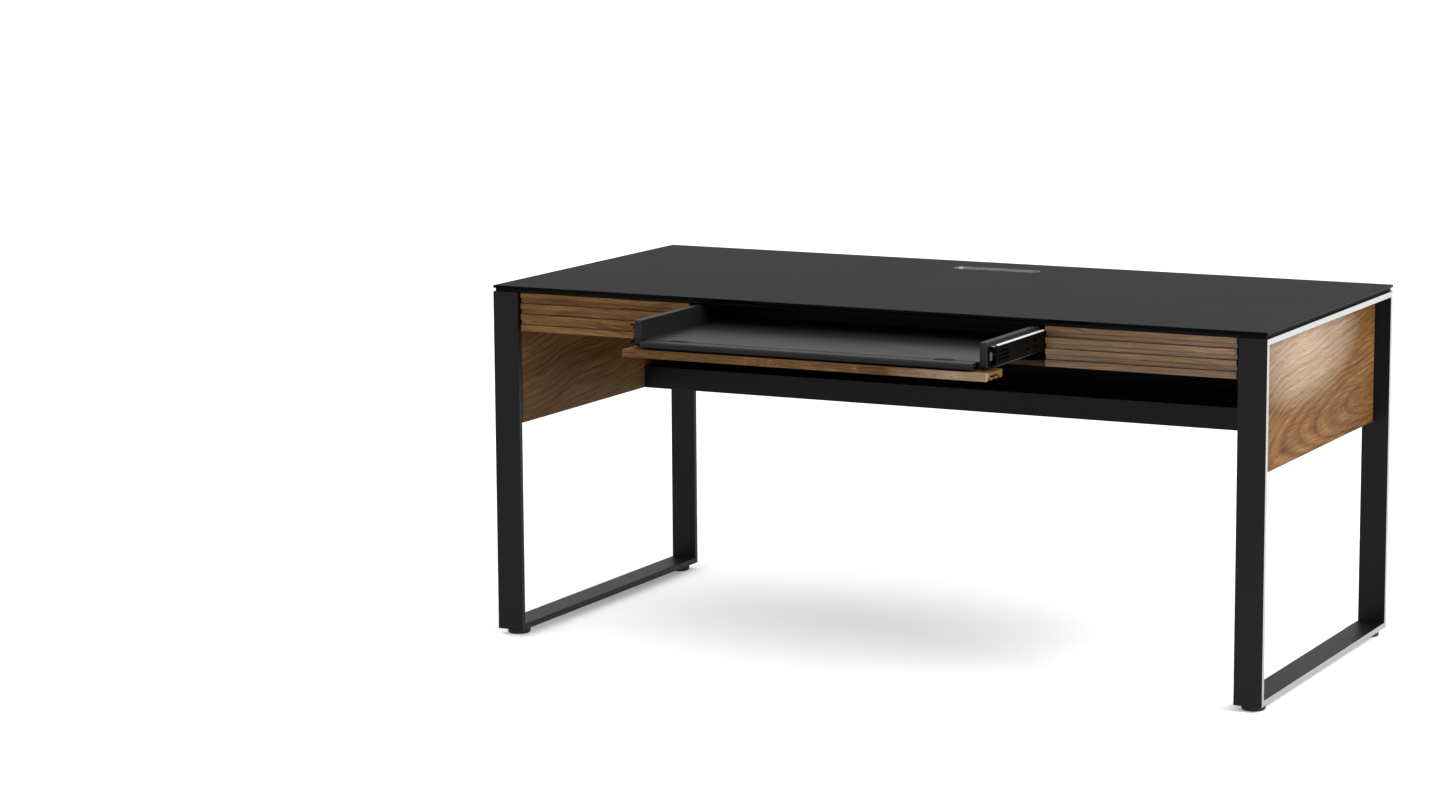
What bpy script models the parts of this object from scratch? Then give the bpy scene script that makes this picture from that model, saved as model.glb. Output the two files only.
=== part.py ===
"""Computer desk with a pull-out keyboard tray, two drawers and a rear cable compartment.

Metres, +Z up. The user sits on the -Y side, and +X is the user's right.
The floor is Z = 0. The desk stands at rest with its tray pulled out and the
tray's front folded down flat under it; both drawers are shut.
X = 0 is the middle of the desk, and Y = 0 is halfway between the edge of the
folded-down front and the rear edge of the glass.
"""

import math

import bmesh
import bpy
from mathutils import Vector

# ---------------------------------------------------------------- driving dimensions

WIDTH = 1.685
DEPTH = 0.788
HEIGHT = 0.737
TRAY_OUT = 0.272            # how far the tray stands open at rest
TRAY_LENGTH = 0.400
GAP = 0.0003                # kept between pieces that touch
CUT_PAST = 0.010            # a cutter runs this far past what it cuts
ROUND_STEPS = 16            # sides of a small round piece
FOOT_STEPS = 28
SLOT_END_STEPS = 12
CORNER_STEPS = 6
BOARD_EASE = 0.0006         # width of an eased edge
GLASS_EASE = 0.0008
STEEL_EASE = 0.0010
WALL_EASE = 0.0012
EASED_ABOVE = math.radians(40)
SHARP_ABOVE = math.radians(35)

SIDES = (("left", -1.0), ("right", 1.0))
ENDS = (("front", -1.0), ("rear", 1.0))

GLASS_T = 0.006
BOARD_T = 0.006
BOARD_INSET = 0.004
SLOT_HALF_LENGTH = 0.0985
SLOT_HALF_WIDTH = 0.0215
SLOT_Y = 0.282              # from the middle of the desk's depth
LINER_T = 0.002

RING_BAR_T = 0.0127
RING_BAR_W = 0.058
RING_FOOT_GAP = 0.0125
FOOT_R = 0.0235
FOOT_RIM = 0.0020           # chamfer round the pad
FOOT_STEM_R = 0.004
FOOT_Y = 0.358
FOOT_HOLE_DEPTH = 0.0112

PANEL_T = 0.025
PANEL_RECESS = 0.0325
PANEL_BOTTOM = 0.450
PANEL_HALF_DEPTH = 0.376

CASE_BOTTOM_LOW = 0.6420
CASE_BOTTOM_TOP = 0.6525
CASE_WALL_T = 0.012
CASE_BACK_Y = 0.048
BAY_HALF_WIDTH = 0.3888     # middle of the desk to a partition's inner face

FRONT_Y = -0.390            # outer plane of the shut drawer fronts
FRONT_T = 0.0148
FRONT_BOTTOM = 0.6445
FRONT_TOP = 0.7234
FRONT_START = 0.3886        # middle of the desk to a drawer front's inner end
FRONT_END = 0.7800
FLAP_HALF_WIDTH = 0.3866
SLAT_PITCH = 0.0221
SLAT_LAND = 0.0100
SLAT_SLOPE = 0.0025
SLAT_RECESS = 0.0048
SLAT_KERF = 0.0009          # open slit between two slats
SLAT_KERF_DEPTH = 0.0090

DRAWER_LOW = 0.6560
DRAWER_TOP = 0.7160
DRAWER_LENGTH = 0.3950
DRAWER_SIDE_T = 0.012
DRAWER_BOTTOM_LOW = 0.6600
DRAWER_BOTTOM_T = 0.006

SLIDE_T = 0.0127
SLIDE_SHEET = 0.001
SLIDE_OUTER_LIP = 0.0112    # depths from the cabinet side of the slide
SLIDE_MIDDLE_WEB = 0.0014
SLIDE_MIDDLE_LIP = 0.0080
SLIDE_INNER_LIP = 0.0030
SLIDE_STEP_BACK = 0.001     # each member starts this far behind the one outside it
SLIDE_HALF_HEIGHTS = (0.0216, 0.0202, 0.0188)
TRAY_SLIDE_Z = 0.6955
TRAY_SLIDE_FRONT_Y = -0.3690
TRAY_SLIDE_LENGTH = 0.385
TRAY_MIDDLE_SHARE = 0.95    # travel of the middle members for each metre the tray moves
DRAWER_SLIDE_Z = 0.6870
DRAWER_SLIDE_FRONT_Y = -0.360
DRAWER_SLIDE_LENGTH = 0.350

TRAY_HALF_WIDTH = 0.3755
TRAY_WALL_T = 0.015
TRAY_WALL_LOW = 0.6705
TRAY_WALL_TOP = 0.7223
TRAY_WALL_CORNER_R = 0.007
TRAY_FLOOR_LOW = 0.6715
TRAY_FLOOR_TOP = 0.6835
TRAY_BACK_TOP = 0.7150

HINGE_Z = 0.6820
FLAP_DROP = 0.0142          # hinge axis down to the folded-down front's upper face
WALL_AHEAD = 0.0110         # the tray walls stand this far in front of the hinge axis
GROOVE_FRONT = 0.0022
GROOVE_BACK = 0.0028
REST_HALF_WIDTH = 0.3526
REST_FRONT = 0.0310
REST_LOW = 0.6703
RAIL_HALF_WIDTH = 0.3450
RAIL_INSET = 0.0030
RAIL_LOW = 0.6681
RAIL_TOP = 0.6700
HINGE_X = 0.283
LEAF_HALF_LENGTH = 0.020
LEAF_REACH = 0.0110
LEAF_SHOULDER = 0.0034      # plate's straight edge, from the hinge axis
LEAF_T = 0.0014
LEAF_SINK = 0.0001
LEAF_CORNER_R = 0.0072
KNUCKLE_R = 0.0020
TRAY_KNUCKLE = (-0.0066, 0.0066)
FLAP_KNUCKLES = ((-0.0140, -0.0070), (0.0070, 0.0140))
PIN_R = 0.0010
PIN_HALF_LENGTH = 0.0150
BORE_R = 0.0012

RAIL_Y = 0.150              # front face of the cable compartment's lower rail
RAIL_HEIGHT = 0.0475
RAIL_T = 0.016
TROUGH_T = 0.012
TROUGH_BACK_Y = 0.360
ACCESS_Y = 0.364
ACCESS_T = 0.012
ACCESS_HALF_WIDTH = 0.783
ACCESS_LOW = 0.451
ACCESS_TOP = 0.7225
CLEAT_SIZE = 0.020
CLEAT_LOW = 0.466
CLEAT_TOP = 0.700

# ---------------------------------------------------------------- worked-out places

HINGE_DY = FRONT_Y - TRAY_OUT + FRONT_T + FLAP_DROP
FLAP_EDGE_DY = HINGE_DY - (FRONT_TOP - HINGE_Z)
MID_Y = (-FLAP_EDGE_DY - DEPTH / 2) / 2     # middle of the desk's own depth
HINGE_Y = MID_Y + HINGE_DY

HALF_W = WIDTH / 2
HALF_D = DEPTH / 2
GLASS_LOW = HEIGHT - GLASS_T
BOARD_TOP = GLASS_LOW - GAP
BOARD_LOW = BOARD_TOP - BOARD_T
RING_TOP = BOARD_LOW - GAP
RING_INNER_X = HALF_W - RING_BAR_W
PANEL_OUTER_X = HALF_W - PANEL_RECESS
PANEL_INNER_X = PANEL_OUTER_X - PANEL_T
PARTITION_OUTER_X = BAY_HALF_WIDTH + CASE_WALL_T
CASE_HALF_WIDTH = RING_INNER_X - GAP
CASE_FRONT_Y = FRONT_Y + FRONT_T + GAP
WALL_FRONT_DY = HINGE_DY - WALL_AHEAD
TRAY_INNER_X = TRAY_HALF_WIDTH - TRAY_WALL_T
FOOT_X = HALF_W - RING_BAR_W / 2

# ---------------------------------------------------------------- finishes
# colour, roughness, metallic

BLACK_GLASS = ((0.035, 0.035, 0.036), 0.32, 0.0)
BLACK_BOARD = ((0.012, 0.012, 0.013), 0.55, 0.0)
BLACK_STEEL = ((0.040, 0.040, 0.041), 0.42, 0.6)
GREY_LINER = ((0.220, 0.220, 0.220), 0.40, 0.5)
WALNUT = ((0.300, 0.190, 0.110), 0.50, 0.0)
BLACK_LAMINATE = ((0.030, 0.030, 0.031), 0.60, 0.0)
TRAY_GREY = ((0.070, 0.072, 0.075), 0.55, 0.0)
ZINC = ((0.550, 0.550, 0.560), 0.30, 1.0)
DARK_HINGE = ((0.020, 0.020, 0.021), 0.45, 0.8)
BLACK_RUBBER = ((0.015, 0.015, 0.015), 0.70, 0.0)


def clear_scene():
    """Empty the file of the objects it opened with."""
    for obj in list(bpy.data.objects):
        bpy.data.objects.remove(obj, do_unlink=True)


def material_for(name, look):
    """A Principled material of the piece's own."""
    colour, roughness, metallic = look
    material = bpy.data.materials.new(name)
    material.use_nodes = True
    shader = material.node_tree.nodes["Principled BSDF"]
    shader.inputs["Base Color"].default_value = (*colour, 1.0)
    shader.inputs["Roughness"].default_value = roughness
    shader.inputs["Metallic"].default_value = metallic
    material.diffuse_color = (*colour, 1.0)
    return material


# ---------------------------------------------------------------- bodies


def make_pivot(name, location):
    """An empty on a moving body's joint, which the body's pieces hang from."""
    pivot = bpy.data.objects.new(name, None)
    pivot.location = location
    bpy.context.collection.objects.link(pivot)
    return pivot


def make_pivots():
    """One empty for each body that moves."""
    tray_mid = (WALL_FRONT_DY + TRAY_LENGTH / 2) + MID_Y
    drawer_x = (PARTITION_OUTER_X + PANEL_INNER_X) / 2
    drawer_y = MID_Y + CASE_FRONT_Y + DRAWER_LENGTH / 2
    pivots = {
        "tray": (0.0, tray_mid, TRAY_SLIDE_Z),
        "tray_middles": (0.0, tray_mid, TRAY_SLIDE_Z),
        "flap": (0.0, HINGE_Y, HINGE_Z),
        "access": (0.0, MID_Y + ACCESS_Y, (ACCESS_LOW + ACCESS_TOP) / 2),
    }
    for side_name, side in SIDES:
        pivots[side_name + "_drawer"] = (side * drawer_x, drawer_y, DRAWER_SLIDE_Z)
        pivots[side_name + "_drawer_middles"] = (side * drawer_x, drawer_y, DRAWER_SLIDE_Z)
        for end_name, end in ENDS:
            foot = (side * FOOT_X, MID_Y + end * FOOT_Y, 0.0)
            pivots[end_name + "_" + side_name + "_foot"] = foot
    return {name: make_pivot(name + "_pivot", place) for name, place in pivots.items()}


# ---------------------------------------------------------------- shape helpers
# A shape's Y is given from the middle of the desk's depth, and moved by MID_Y here.


def add_piece(name, bm, look, pivot=None):
    """Turn a bmesh into a named piece, hung from its body's empty."""
    origin = pivot.location.copy() if pivot else Vector((0.0, 0.0, 0.0))
    shift = Vector((0.0, MID_Y, 0.0)) - origin
    bmesh.ops.translate(bm, verts=bm.verts, vec=shift)
    bmesh.ops.recalc_face_normals(bm, faces=bm.faces)
    mesh = bpy.data.meshes.new(name)
    bm.to_mesh(mesh)
    bm.free()
    obj = bpy.data.objects.new(name, mesh)
    bpy.context.collection.objects.link(obj)
    obj.parent = pivot
    mesh.materials.append(material_for(name, look))
    return obj


def add_cutter(name, bm, pivot=None):
    """A hidden shape that a Boolean reads."""
    obj = add_piece(name, bm, BLACK_BOARD, pivot)
    obj.hide_render = True
    obj.display_type = "WIRE"
    return obj


def box_mesh(low, high):
    """A box between two corners, in either order along X."""
    bm = bmesh.new()
    bmesh.ops.create_cube(bm, size=1.0)
    for vert in bm.verts:
        for axis in range(3):
            middle = (low[axis] + high[axis]) / 2
            vert.co[axis] = middle + vert.co[axis] * abs(high[axis] - low[axis])
    return bm


def prism_mesh(outline, axis, start, end):
    """Extrude a closed outline along X (axis 0) or Z (axis 2)."""
    bm = bmesh.new()
    if axis == 0:
        corners = [(start, a, b) for a, b in outline]
    else:
        corners = [(a, b, start) for a, b in outline]
    face = bm.faces.new([bm.verts.new(corner) for corner in corners])
    extruded = bmesh.ops.extrude_face_region(bm, geom=[face])
    moved = [item for item in extruded["geom"] if isinstance(item, bmesh.types.BMVert)]
    direction = Vector((0.0, 0.0, 0.0))
    direction[axis] = end - start
    bmesh.ops.translate(bm, verts=moved, vec=direction)
    return bm


def arc(centre, radius, first, last, steps):
    """Points along an arc, with angles in degrees."""
    points = []
    for step in range(steps + 1):
        angle = math.radians(first + (last - first) * step / steps)
        points.append((centre[0] + radius * math.cos(angle), centre[1] + radius * math.sin(angle)))
    return points


def circle(centre, radius, segments):
    """A closed circle."""
    return arc(centre, radius, 0, 360, segments)[:-1]


def cylinder_mesh(centre, radius, start, end, segments):
    """A round bar along X, with its centre given as (y, z)."""
    return prism_mesh(circle(centre, radius, segments), 0, start, end)


def stadium(half_length, half_width, centre_y):
    """A slot outline with round ends, long along X."""
    reach = half_length - half_width
    right = arc((reach, centre_y), half_width, -90, 90, SLOT_END_STEPS)
    left = arc((-reach, centre_y), half_width, 90, 270, SLOT_END_STEPS)
    return right + left


def soften(obj, width, segments=1):
    """Ease the sharp edges."""
    bevel = obj.modifiers.new("eased_edges", "BEVEL")
    bevel.width = width
    bevel.segments = segments
    bevel.limit_method = "ANGLE"
    bevel.angle_limit = EASED_ABOVE


def combine(obj, other, operation):
    """Cut another shape away, or join it on."""
    boolean = obj.modifiers.new(other.name, "BOOLEAN")
    boolean.operation = operation
    boolean.solver = "EXACT"
    boolean.object = other


def add_box(name, low, high, look, pivot=None, ease=BOARD_EASE):
    """A plain board or block with eased edges."""
    obj = add_piece(name, box_mesh(low, high), look, pivot)
    if ease:
        soften(obj, ease)
    return obj


# ---------------------------------------------------------------- top


def make_top():
    """Glass sheet, the board under it and the liner of the cable slot."""
    low = (-HALF_W, -HALF_D, GLASS_LOW)
    glass = add_box("glass_top", low, (HALF_W, HALF_D, HEIGHT), BLACK_GLASS, ease=GLASS_EASE)
    board_x = HALF_W - BOARD_INSET
    board_y = HALF_D - BOARD_INSET
    board = add_box(
        "top_board", (-board_x, -board_y, BOARD_LOW), (board_x, board_y, BOARD_TOP), BLACK_BOARD, ease=0.0
    )
    slot = stadium(SLOT_HALF_LENGTH, SLOT_HALF_WIDTH, SLOT_Y)
    cutter = add_cutter("slot_cutter", prism_mesh(slot, 2, BOARD_LOW - CUT_PAST, HEIGHT + CUT_PAST))
    combine(glass, cutter, "DIFFERENCE")
    combine(board, cutter, "DIFFERENCE")
    outside = stadium(SLOT_HALF_LENGTH - GAP, SLOT_HALF_WIDTH - GAP, SLOT_Y)
    liner = add_piece("cable_slot_liner", prism_mesh(outside, 2, BOARD_LOW, HEIGHT - GAP), GREY_LINER)
    inset = GAP + LINER_T
    inside = stadium(SLOT_HALF_LENGTH - inset, SLOT_HALF_WIDTH - inset, SLOT_Y)
    core = add_cutter("liner_cutter", prism_mesh(inside, 2, BOARD_LOW - CUT_PAST, HEIGHT + CUT_PAST))
    combine(liner, core, "DIFFERENCE")


# ---------------------------------------------------------------- legs


def ring_mesh(side):
    """A closed rectangular loop of flat bar, standing across the desk's depth."""
    low = RING_FOOT_GAP
    outer = [(-HALF_D, low), (HALF_D, low), (HALF_D, RING_TOP), (-HALF_D, RING_TOP)]
    near = HALF_D - RING_BAR_T
    floor = low + RING_BAR_T
    ceiling = RING_TOP - RING_BAR_T
    inner = [(-near, floor), (near, floor), (near, ceiling), (-near, ceiling)]
    bm = bmesh.new()
    loops = []
    for x in (side * RING_INNER_X, side * HALF_W):
        loops.append([bm.verts.new((x, y, z)) for y, z in outer])
        loops.append([bm.verts.new((x, y, z)) for y, z in inner])
    for first, second in ((0, 1), (2, 3), (0, 2), (1, 3)):
        for corner in range(4):
            after = (corner + 1) % 4
            quad = (loops[first][corner], loops[first][after], loops[second][after], loops[second][corner])
            bm.faces.new(quad)
    return bm


def foot_mesh(centre_x, centre_y):
    """A round levelling pad with its stem, turned about Z."""
    top = RING_FOOT_GAP - GAP
    stem_top = RING_FOOT_GAP + FOOT_HOLE_DEPTH - 2 * GAP
    profile = [
        (0.0, 0.0),
        (FOOT_R - FOOT_RIM, 0.0),
        (FOOT_R, FOOT_RIM),
        (FOOT_R, top - FOOT_RIM),
        (FOOT_R - FOOT_RIM, top),
        (FOOT_STEM_R, top),
        (FOOT_STEM_R, stem_top),
        (0.0, stem_top),
    ]
    bm = bmesh.new()
    verts = [bm.verts.new((radius, 0.0, z)) for radius, z in profile]
    edges = [bm.edges.new(pair) for pair in zip(verts, verts[1:])]
    turn = {"cent": (0, 0, 0), "axis": (0, 0, 1), "angle": 2 * math.pi, "steps": FOOT_STEPS}
    bmesh.ops.spin(bm, geom=verts + edges, use_merge=True, **turn)
    bmesh.ops.remove_doubles(bm, verts=bm.verts, dist=0.00001)
    bmesh.ops.translate(bm, verts=bm.verts, vec=(centre_x, centre_y, 0.0))
    return bm


def smooth_round(obj):
    """Smooth shading, with the sharp rims kept."""
    obj.data.shade_smooth()
    obj.data.set_sharp_from_angle(angle=SHARP_ABOVE)


def make_legs(pivots):
    """Two leg rings, each on two levelling feet screwed into its bottom bar."""
    for side_name, side in SIDES:
        ring = add_piece(side_name + "_leg_ring", ring_mesh(side), BLACK_STEEL)
        soften(ring, STEEL_EASE, 2)
        for end_name, end in ENDS:
            name = end_name + "_" + side_name + "_foot"
            x = side * FOOT_X
            y = end * FOOT_Y
            hole = circle((x, y), FOOT_STEM_R + GAP, ROUND_STEPS)
            top = RING_FOOT_GAP + FOOT_HOLE_DEPTH
            cutter = add_cutter(name + "_hole", prism_mesh(hole, 2, 0.0, top))
            combine(ring, cutter, "DIFFERENCE")
            foot = add_piece(name, foot_mesh(x, y), BLACK_RUBBER, pivots[name])
            smooth_round(foot)


# ---------------------------------------------------------------- case and cable compartment


def make_case():
    """Side panels, case bottom, partitions and the wall behind the drawers."""
    panel_top = RING_TOP - RING_BAR_T - GAP
    for side_name, side in SIDES:
        low = (side * PANEL_INNER_X, -PANEL_HALF_DEPTH, PANEL_BOTTOM)
        high = (side * PANEL_OUTER_X, PANEL_HALF_DEPTH, panel_top)
        add_box(side_name + "_side_panel", low, high, WALNUT)
        low = (side * BAY_HALF_WIDTH, CASE_FRONT_Y, CASE_BOTTOM_TOP + GAP)
        high = (side * PARTITION_OUTER_X, CASE_BACK_Y - GAP, RING_TOP)
        add_box(side_name + "_partition", low, high, BLACK_LAMINATE)
    back_end = CASE_BACK_Y + CASE_WALL_T
    low = (-CASE_HALF_WIDTH, CASE_FRONT_Y, CASE_BOTTOM_LOW)
    add_box("case_bottom", low, (CASE_HALF_WIDTH, back_end, CASE_BOTTOM_TOP), WALNUT)
    low = (-CASE_HALF_WIDTH, CASE_BACK_Y, CASE_BOTTOM_TOP + GAP)
    add_box("case_back", low, (CASE_HALF_WIDTH, back_end, RING_TOP), BLACK_LAMINATE)


def make_cable_compartment(pivots):
    """Lower rail, floor, cleats and the lift-off panel at the rear."""
    low = (-CASE_HALF_WIDTH, RAIL_Y, PANEL_BOTTOM)
    high = (CASE_HALF_WIDTH, RAIL_Y + RAIL_T, PANEL_BOTTOM + RAIL_HEIGHT)
    add_box("compartment_rail", low, high, BLACK_LAMINATE)
    low = (-CASE_HALF_WIDTH, RAIL_Y + RAIL_T + GAP, PANEL_BOTTOM)
    high = (CASE_HALF_WIDTH, TROUGH_BACK_Y, PANEL_BOTTOM + TROUGH_T)
    add_box("compartment_floor", low, high, BLACK_LAMINATE)
    for side_name, side in SIDES:
        low = (side * (CASE_HALF_WIDTH - CLEAT_SIZE), ACCESS_Y - GAP - CLEAT_SIZE, CLEAT_LOW)
        high = (side * CASE_HALF_WIDTH, ACCESS_Y - GAP, CLEAT_TOP)
        add_box(side_name + "_panel_cleat", low, high, BLACK_LAMINATE)
    low = (-ACCESS_HALF_WIDTH, ACCESS_Y, ACCESS_LOW)
    high = (ACCESS_HALF_WIDTH, ACCESS_Y + ACCESS_T, ACCESS_TOP)
    add_box("rear_access_panel", low, high, BLACK_LAMINATE, pivots["access"])


# ---------------------------------------------------------------- louvred fronts


def louvre_outline(face_y, back_y):
    """Y-Z outline of a front: slats with a land, a recess below it and a slit under that."""
    points = [(back_y, FRONT_BOTTOM), (back_y, FRONT_TOP)]
    top = FRONT_TOP
    while top - SLAT_PITCH > FRONT_BOTTOM:
        foot = top - SLAT_PITCH
        points.append((face_y, top))
        points.append((face_y, top - SLAT_LAND))
        points.append((face_y + SLAT_RECESS, top - SLAT_LAND - SLAT_SLOPE))
        points.append((face_y + SLAT_RECESS, foot + SLAT_KERF))
        points.append((face_y + SLAT_KERF_DEPTH, foot + SLAT_KERF))
        points.append((face_y + SLAT_KERF_DEPTH, foot))
        top = foot
    points.append((face_y, top))
    points.append((face_y, FRONT_BOTTOM))
    return points


def folded_down(point):
    """Turn a shut front's (y, z) down about the hinge axis, by a quarter turn."""
    y, z = point
    return (HINGE_DY - (z - HINGE_Z), HINGE_Z + (y - HINGE_DY))


# ---------------------------------------------------------------- slides


def channel_outline(web_x, lip_x, centre_z, half_height, toward):
    """X-Z outline of a C-shaped slide member, sheet steel, with its web at web_x."""
    sheet = SLIDE_SHEET
    inside = half_height - sheet
    return [
        (web_x, centre_z - half_height),
        (lip_x, centre_z - half_height),
        (lip_x, centre_z - inside),
        (web_x + toward * sheet, centre_z - inside),
        (web_x + toward * sheet, centre_z + inside),
        (lip_x, centre_z + inside),
        (lip_x, centre_z + half_height),
        (web_x, centre_z + half_height),
    ]


def channel_mesh(outline, start, end):
    """Extrude an X-Z outline along Y."""
    bm = bmesh.new()
    face = bm.faces.new([bm.verts.new((x, start, z)) for x, z in outline])
    extruded = bmesh.ops.extrude_face_region(bm, geom=[face])
    moved = [item for item in extruded["geom"] if isinstance(item, bmesh.types.BMVert)]
    bmesh.ops.translate(bm, verts=moved, vec=(0.0, end - start, 0.0))
    return bm


def make_slide(prefix, cabinet_x, toward, centre_z, reach, middle_pivot, inner_pivot):
    """Outer, middle and inner members of one slide, nested.

    reach holds the front end, the length, and how far the middle and inner members stand out.
    """
    front_y, length, middle_out, inner_out = reach
    outer_h, middle_h, inner_h = SLIDE_HALF_HEIGHTS
    members = (
        ("outer", 0.0, SLIDE_OUTER_LIP, outer_h, 0.0, None),
        ("middle", SLIDE_MIDDLE_WEB, SLIDE_MIDDLE_LIP, middle_h, SLIDE_STEP_BACK - middle_out, middle_pivot),
        ("inner", SLIDE_T, SLIDE_INNER_LIP, inner_h, 2 * SLIDE_STEP_BACK - inner_out, inner_pivot),
    )
    for label, web, lip, half_height, offset, pivot in members:
        web_x = cabinet_x + toward * web
        lip_x = cabinet_x + toward * lip
        opens = toward if lip > web else -toward
        outline = channel_outline(web_x, lip_x, centre_z, half_height, opens)
        start = front_y + offset
        bm = channel_mesh(outline, start, start + length)
        add_piece(prefix + "_slide_" + label, bm, ZINC, pivot)


# ---------------------------------------------------------------- drawers


def make_drawer(side_name, side, pivots):
    """One drawer: louvred front, box and its two slides."""
    body = side_name + "_drawer"
    pivot = pivots[body]
    inner_end = PARTITION_OUTER_X + GAP + SLIDE_T + GAP
    outer_end = PANEL_INNER_X - GAP - SLIDE_T - GAP
    outline = louvre_outline(FRONT_Y, FRONT_Y + FRONT_T)
    bm = prism_mesh(outline, 0, side * FRONT_START, side * FRONT_END)
    add_piece(body + "_front", bm, WALNUT, pivot)
    start = CASE_FRONT_Y
    end = start + DRAWER_LENGTH
    for label, x in (("inner", inner_end), ("outer", outer_end - DRAWER_SIDE_T)):
        low = (side * x, start, DRAWER_LOW)
        high = (side * (x + DRAWER_SIDE_T), end, DRAWER_TOP)
        add_box(body + "_" + label + "_wall", low, high, BLACK_LAMINATE, pivot)
    clear_in = inner_end + DRAWER_SIDE_T + GAP
    clear_out = outer_end - DRAWER_SIDE_T - GAP
    low = (side * clear_in, end - DRAWER_SIDE_T, DRAWER_LOW)
    high = (side * clear_out, end, DRAWER_TOP)
    add_box(body + "_back", low, high, BLACK_LAMINATE, pivot)
    low = (side * clear_in, start, DRAWER_BOTTOM_LOW)
    high = (side * clear_out, end - DRAWER_SIDE_T - GAP, DRAWER_BOTTOM_LOW + DRAWER_BOTTOM_T)
    add_box(body + "_bottom", low, high, BLACK_LAMINATE, pivot, ease=0.0)
    middles = pivots[body + "_middles"]
    reach = (DRAWER_SLIDE_FRONT_Y, DRAWER_SLIDE_LENGTH, 0.0, 0.0)
    x = side * (PARTITION_OUTER_X + GAP)
    make_slide(body + "_inner", x, side, DRAWER_SLIDE_Z, reach, middles, pivot)
    x = side * (PANEL_INNER_X - GAP)
    make_slide(body + "_outer", x, -side, DRAWER_SLIDE_Z, reach, middles, pivot)


# ---------------------------------------------------------------- keyboard tray


def tray_wall_outline():
    """Y-Z outline of a tray wall, with round corners at the front."""
    front = WALL_FRONT_DY
    back = front + TRAY_LENGTH
    r = TRAY_WALL_CORNER_R
    lower = arc((front + r, TRAY_WALL_LOW + r), r, -90, -180, CORNER_STEPS)
    upper = arc((front + r, TRAY_WALL_TOP - r), r, 180, 90, CORNER_STEPS)
    return [(back, TRAY_WALL_LOW)] + lower + upper + [(back, TRAY_WALL_TOP)]


def leaf_outline(centre_x, away, necks):
    """X-Y outline of a hinge leaf: round-cornered plate with necks to the hinge axis."""
    reach = HINGE_DY + away * LEAF_REACH
    shoulder = HINGE_DY + away * LEAF_SHOULDER
    r = LEAF_CORNER_R
    right = centre_x + LEAF_HALF_LENGTH
    left = centre_x - LEAF_HALF_LENGTH
    tip = reach - away * r
    far_right = arc((right - r, tip), r, 0, 90 * away, CORNER_STEPS)
    far_left = arc((left + r, tip), r, 90 * away, 180 * away, CORNER_STEPS)
    points = [(right, shoulder)] + far_right + far_left + [(left, shoulder)]
    for start, end in necks:
        points.append((centre_x + start, shoulder))
        points.append((centre_x + start, HINGE_DY))
        points.append((centre_x + end, HINGE_DY))
        points.append((centre_x + end, shoulder))
    return points


def make_hinge(side_name, side, floor, wrist_rest, pivots):
    """A flush drop-front hinge: one leaf in the tray floor, one in the wrist rest."""
    x = side * HINGE_X
    axis = (HINGE_DY, HINGE_Z)
    plate_low = TRAY_FLOOR_TOP - LEAF_SINK - LEAF_T
    tray_leaf = add_piece(
        side_name + "_hinge_tray_leaf",
        prism_mesh(leaf_outline(x, 1.0, (TRAY_KNUCKLE,)), 2, plate_low, plate_low + LEAF_T),
        DARK_HINGE,
        pivots["tray"],
    )
    start, end = TRAY_KNUCKLE
    knuckle = cylinder_mesh(axis, KNUCKLE_R, x + start, x + end, ROUND_STEPS)
    combine(tray_leaf, add_cutter(side_name + "_tray_knuckle", knuckle, pivots["tray"]), "UNION")
    pin = cylinder_mesh(axis, PIN_R, x - PIN_HALF_LENGTH, x + PIN_HALF_LENGTH, ROUND_STEPS)
    combine(tray_leaf, add_cutter(side_name + "_hinge_pin", pin, pivots["tray"]), "UNION")
    flap_leaf = add_piece(
        side_name + "_hinge_flap_leaf",
        prism_mesh(leaf_outline(x, -1.0, FLAP_KNUCKLES), 2, plate_low, plate_low + LEAF_T),
        DARK_HINGE,
        pivots["flap"],
    )
    for number, (start, end) in enumerate(FLAP_KNUCKLES):
        name = side_name + "_flap_knuckle_" + str(number)
        bm = cylinder_mesh(axis, KNUCKLE_R, x + start, x + end, ROUND_STEPS)
        combine(flap_leaf, add_cutter(name, bm, pivots["flap"]), "UNION")
    bore = cylinder_mesh(axis, BORE_R, x - LEAF_HALF_LENGTH, x + LEAF_HALF_LENGTH, ROUND_STEPS)
    combine(flap_leaf, add_cutter(side_name + "_hinge_bore", bore, pivots["flap"]), "DIFFERENCE")
    pocket_low = plate_low - GAP
    for away, obj, body in ((1.0, floor, "tray"), (-1.0, wrist_rest, "flap")):
        far = HINGE_DY + away * (LEAF_REACH + GAP)
        near = HINGE_DY
        end = LEAF_HALF_LENGTH + GAP
        bm = box_mesh((x - end, near, pocket_low), (x + end, far, TRAY_FLOOR_TOP + CUT_PAST))
        cutter = add_cutter(side_name + "_" + body + "_leaf_pocket", bm, pivots[body])
        combine(obj, cutter, "DIFFERENCE")


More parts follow.
